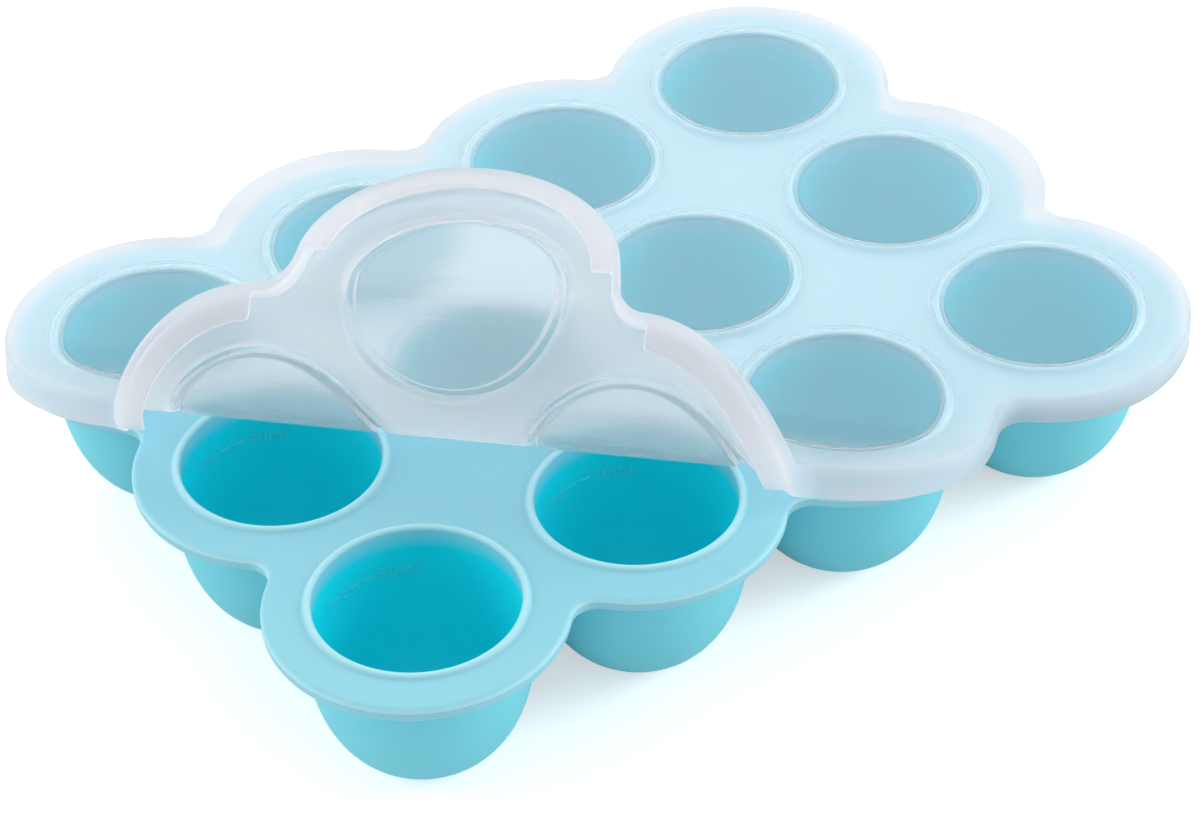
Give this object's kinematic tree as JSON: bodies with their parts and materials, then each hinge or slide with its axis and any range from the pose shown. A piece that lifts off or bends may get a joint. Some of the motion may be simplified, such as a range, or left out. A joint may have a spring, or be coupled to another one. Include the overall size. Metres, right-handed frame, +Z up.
{
  "type": "baby food freezer tray",
  "caption": "Soft tray of round-bottomed food cups under a milky clip-on lid, one corner of the lid peeled back over itself.",
  "frame": {"origin": "on the floor under the middle of the cup grid, within 1.4 mm of the bottom centre of the bounds", "axes": "+Z up, +X along the long side with the peeled corner at -X -Y, +Y along the short side"},
  "size_m": [0.238, 0.183, 0.0895],
  "materials": {
    "tray_silicone": "matte sky-blue food-grade silicone",
    "cup_silicone": "matte sky-blue food-grade silicone, the same moulding as the deck",
    "lid_silicone": "milky translucent silicone, satin"
  },
  "bodies": {
    "tray": {"tray_deck": "tray_silicone", "cup_1_1": "cup_silicone", "cup_1_2": "cup_silicone", "cup_1_3": "cup_silicone", "cup_2_1": "cup_silicone", "cup_2_2": "cup_silicone", "cup_2_3": "cup_silicone", "cup_3_1": "cup_silicone", "cup_3_2": "cup_silicone", "cup_3_3": "cup_silicone", "cup_4_1": "cup_silicone", "cup_4_2": "cup_silicone", "cup_4_3": "cup_silicone"},
    "lid": {"lid_panel": "lid_silicone", "clip_1_3_on_lid_panel": "lid_silicone", "clip_2_3_on_lid_panel": "lid_silicone", "clip_3_1_on_lid_panel": "lid_silicone", "clip_3_3_on_lid_panel": "lid_silicone", "clip_4_1_on_lid_panel": "lid_silicone", "clip_4_2_on_lid_panel": "lid_silicone", "clip_4_3_on_lid_panel": "lid_silicone"},
    "peel_strip_1": {"peel_strip_1": "lid_silicone"},
    "peel_strip_2": {"peel_strip_2": "lid_silicone", "clip_1_2_on_peel_strip_2": "lid_silicone", "clip_2_1_on_peel_strip_2": "lid_silicone"},
    "peel_strip_3": {"peel_strip_3": "lid_silicone", "clip_1_2_on_peel_strip_3": "lid_silicone", "clip_2_1_on_peel_strip_3": "lid_silicone"},
    "peel_strip_4": {"peel_strip_4": "lid_silicone", "clip_1_2_on_peel_strip_4": "lid_silicone", "clip_2_1_on_peel_strip_4": "lid_silicone"},
    "peel_strip_5": {"peel_strip_5": "lid_silicone", "clip_1_2_on_peel_strip_5": "lid_silicone", "clip_2_1_on_peel_strip_5": "lid_silicone"},
    "peel_corner": {"peel_corner": "lid_silicone", "clip_1_1_on_peel_corner": "lid_silicone"}
  },
  "joints": [
    {"name": "lid_lift", "type": "slide", "parent": "tray", "child": "lid", "axis": [0, 0, 1], "range_m": [0, 0.06], "deforming": ["clip_1_3_on_lid_panel", "clip_2_3_on_lid_panel", "clip_3_1_on_lid_panel", "clip_3_3_on_lid_panel", "clip_4_1_on_lid_panel", "clip_4_2_on_lid_panel", "clip_4_3_on_lid_panel"]},
    {"name": "corner_lift", "type": "hinge", "parent": "lid", "child": "peel_strip_1", "pos_m": [-0.03589, -0.00757, 0.0425], "axis": [-0.7133, 0.7009, 0], "range_deg": [-15.3, 0]},
    {"name": "corner_fold_1", "type": "hinge", "parent": "peel_strip_1", "child": "peel_strip_2", "pos_m": [-0.05151, -0.02346, 0.0486], "axis": [-0.7133, 0.7009, 0], "range_deg": [-32.7, 0], "deforming": ["clip_1_2_on_peel_strip_2", "clip_2_1_on_peel_strip_2"]},
    {"name": "corner_fold_2", "type": "hinge", "parent": "peel_strip_2", "child": "peel_strip_3", "pos_m": [-0.05636, -0.0284, 0.05629], "axis": [-0.7133, 0.7009, 0], "range_deg": [-32.7, 0], "deforming": ["clip_1_2_on_peel_strip_3", "clip_2_1_on_peel_strip_3"]},
    {"name": "corner_fold_3", "type": "hinge", "parent": "peel_strip_3", "child": "peel_strip_4", "pos_m": [-0.05753, -0.02959, 0.0665], "axis": [-0.7133, 0.7009, 0], "range_deg": [-32.7, 0], "deforming": ["clip_1_2_on_peel_strip_4", "clip_2_1_on_peel_strip_4"]},
    {"name": "corner_fold_4", "type": "hinge", "parent": "peel_strip_4", "child": "peel_strip_5", "pos_m": [-0.05465, -0.02666, 0.076], "axis": [-0.7133, 0.7009, 0], "range_deg": [-32.7, 0], "deforming": ["clip_1_2_on_peel_strip_5", "clip_2_1_on_peel_strip_5"]},
    {"name": "corner_fold_5", "type": "hinge", "parent": "peel_strip_5", "child": "peel_corner", "pos_m": [-0.04863, -0.02053, 0.08177], "axis": [-0.7133, 0.7009, 0], "range_deg": [-32.7, 0], "deforming": ["clip_1_1_on_peel_corner"]}
  ],
  "couplings": [
    {"joint": "corner_lift", "follows": "corner_fold_1", "ratio": 0.4678},
    {"joint": "corner_fold_2", "follows": "corner_fold_1", "ratio": 1},
    {"joint": "corner_fold_3", "follows": "corner_fold_1", "ratio": 1},
    {"joint": "corner_fold_4", "follows": "corner_fold_1", "ratio": 1},
    {"joint": "corner_fold_5", "follows": "corner_fold_1", "ratio": 1}
  ]
}
